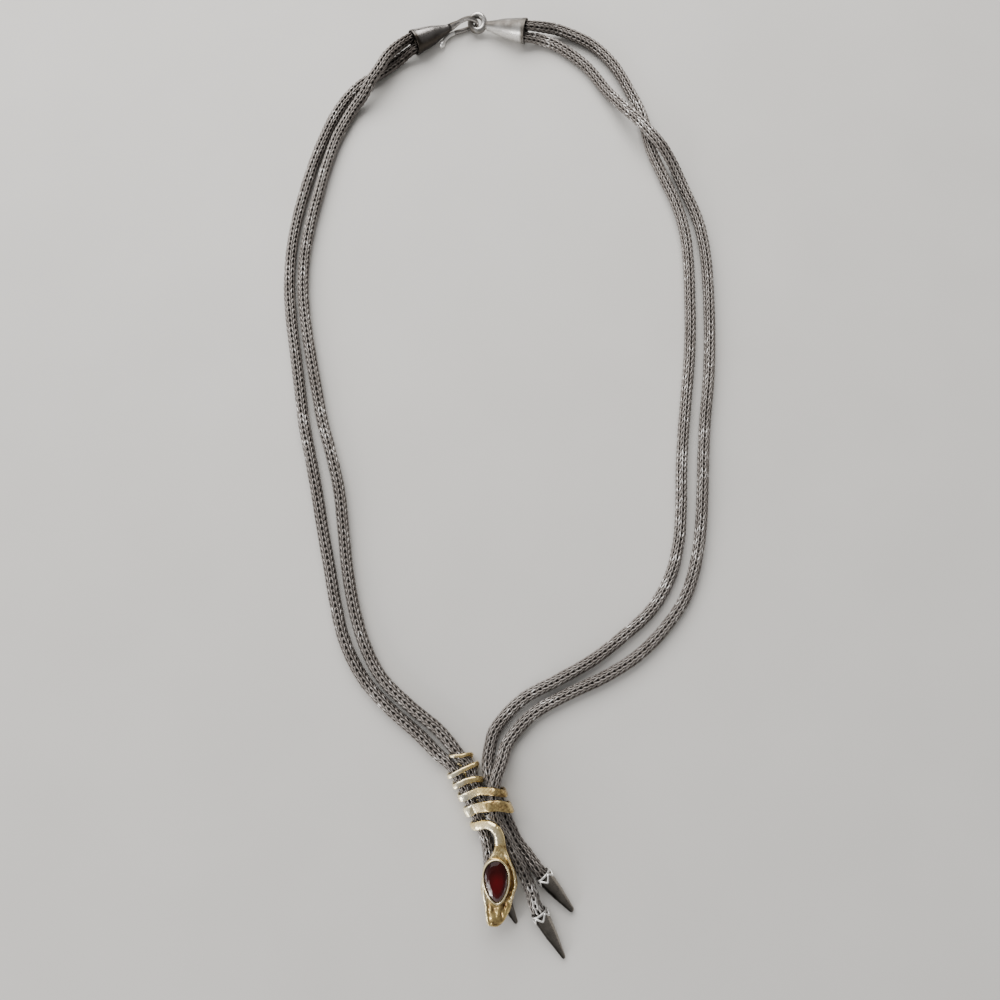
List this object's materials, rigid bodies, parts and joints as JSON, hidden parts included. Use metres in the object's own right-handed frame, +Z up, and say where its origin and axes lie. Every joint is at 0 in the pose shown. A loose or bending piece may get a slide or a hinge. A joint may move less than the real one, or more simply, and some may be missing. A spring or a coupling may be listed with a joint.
{
  "type": "necklace",
  "caption": "Necklace of paired woven strands drawn together by a coiled snake with a pear-shaped stone on its head, closed by a hook and ring between tapered caps.",
  "frame": {"origin": "on the surface the necklace lies on, below the middle of its bounding box", "axes": "+Y runs from the snake to the clasp, +X to the right seen from above, +Z up from the surface"},
  "size_m": [0.122, 0.2628, 0.0094],
  "materials": {
    "woven_silver": "oxidised silver, woven, bright on the ridges",
    "polished_silver": "polished silver",
    "gold": "hammered pale gold",
    "garnet": "faceted, polished"
  },
  "bodies": {
    "root": {"chain_left_outer": "woven_silver", "chain_left_inner": "woven_silver", "chain_right_outer": "woven_silver", "chain_right_inner": "woven_silver", "hook_cap": "polished_silver", "ring_cap": "polished_silver", "tip_left_outer": "polished_silver", "tip_left_inner": "polished_silver", "tip_right_outer": "polished_silver", "tip_right_inner": "polished_silver", "snake": "gold", "stone": "garnet"}
  },
  "joints": []
}
